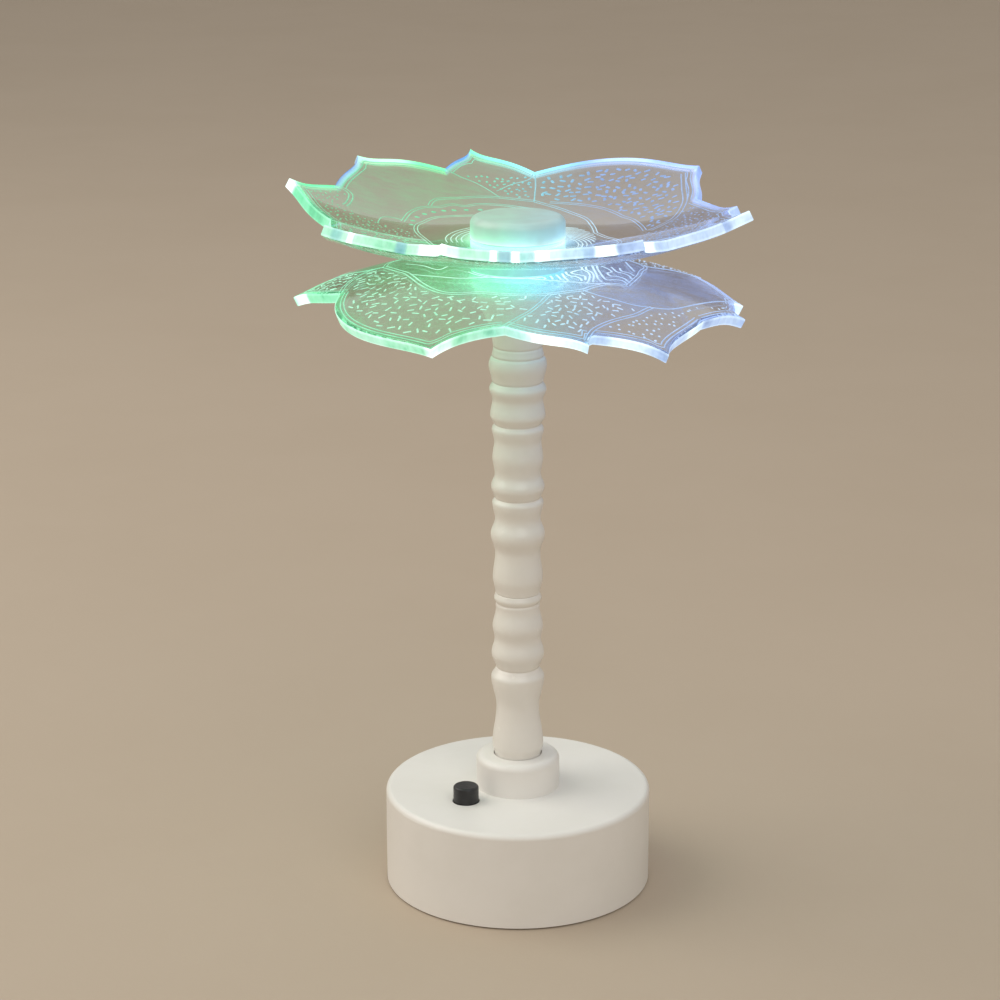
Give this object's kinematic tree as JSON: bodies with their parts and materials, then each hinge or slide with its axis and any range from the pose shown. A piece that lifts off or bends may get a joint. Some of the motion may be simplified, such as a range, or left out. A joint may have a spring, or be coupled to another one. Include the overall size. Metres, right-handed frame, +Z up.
{
  "type": "led table lamp",
  "caption": "Battery LED table lamp: edge-lit clear lotus plates, dished and domed, clamped by a cap on a turned column over a round base with a push button.",
  "frame": {"origin": "middle of the base, on the plane that its rubber feet and pad stand on", "axes": "+Z up along the column, -Y towards the viewer of the picture, +X to the right"},
  "size_m": [0.1337, 0.1356, 0.2131],
  "materials": {
    "white_plastic": "satin moulded white",
    "carrier_plastic": "moulded white",
    "black_plastic": "moulded black",
    "switch_plastic": "moulded dark grey",
    "plunger_plastic": "moulded ivory",
    "clear_acrylic": "clear cast acrylic, engraved, edge lit",
    "clear_lens": "clear moulded tube",
    "frosted_spacer": "frosted moulded ring",
    "foot_rubber": "soft dark rubber",
    "soft_clear": "soft milky silicone",
    "screw_steel": "zinc plated",
    "plated_steel": "zinc plated",
    "spring_steel": "nickel plated",
    "insert_brass": "turned",
    "cell_sleeve": "plain printed sleeve",
    "lead_black": "soft insulation",
    "lead_red": "soft insulation",
    "board_laminate": "solder mask",
    "chip_black": "moulded",
    "resistor_ceramic": "ceramic",
    "capacitor_sleeve": "sleeved can",
    "strip_film": "flexible film",
    "led_package": "lit LED package"
  },
  "bodies": {
    "base": {"base_shell": "white_plastic", "bottom_cover": "white_plastic", "column_lower": "white_plastic", "column_upper": "white_plastic", "led_carrier": "carrier_plastic", "switch_body": "switch_plastic", "lens_tube": "clear_lens", "plate_spacer": "frosted_spacer", "rubber_feet": "foot_rubber", "cover_screws": "screw_steel", "board_screws": "screw_steel", "column_nut": "plated_steel", "column_washer": "plated_steel", "threaded_tube": "plated_steel", "battery_springs": "spring_steel", "switch_spring": "spring_steel", "contact_plates": "spring_steel", "battery_cells": "cell_sleeve", "battery_lead": "lead_black", "lead_black": "lead_black", "lead_red": "lead_red", "control_board": "board_laminate", "driver_chip": "chip_black", "board_resistors": "resistor_ceramic", "board_capacitor": "capacitor_sleeve", "led_strip": "strip_film", "leds_lower": "led_package", "leds_upper": "led_package"},
    "button": {"button_cap": "black_plastic", "switch_plunger": "plunger_plastic"},
    "battery_door": {"battery_door": "white_plastic", "door_pad": "foot_rubber"},
    "lower_plate": {"lower_plate": "clear_acrylic"},
    "upper_plate": {"upper_plate": "clear_acrylic"},
    "cap": {"top_cap": "white_plastic", "cap_insert": "insert_brass", "soft_washer": "soft_clear"}
  },
  "joints": [
    {"name": "power_button", "type": "slide", "parent": "base", "child": "button", "axis": [0, 0, 1], "range_m": [-0.0016, 0], "stiffness_N_per_m": 250, "springref_m": 0.001, "deforming": ["switch_spring"]},
    {"name": "battery_door_hinge", "type": "hinge", "parent": "base", "child": "battery_door", "pos_m": [-0.02558, 0, 0.00183], "axis": [0, 1, 0], "range_deg": [0, 85]},
    {"name": "lower_plate_turn", "type": "hinge", "parent": "base", "child": "lower_plate", "pos_m": [0, 0, 0.18855], "axis": [0, 0, 1], "continuous": true},
    {"name": "upper_plate_turn", "type": "hinge", "parent": "base", "child": "upper_plate", "pos_m": [0, 0, 0.19675], "axis": [0, 0, 1], "continuous": true},
    {"name": "cap_lift", "type": "slide", "parent": "base", "child": "cap", "axis": [0, 0, 1], "range_m": [0, 0.0042]}
  ]
}
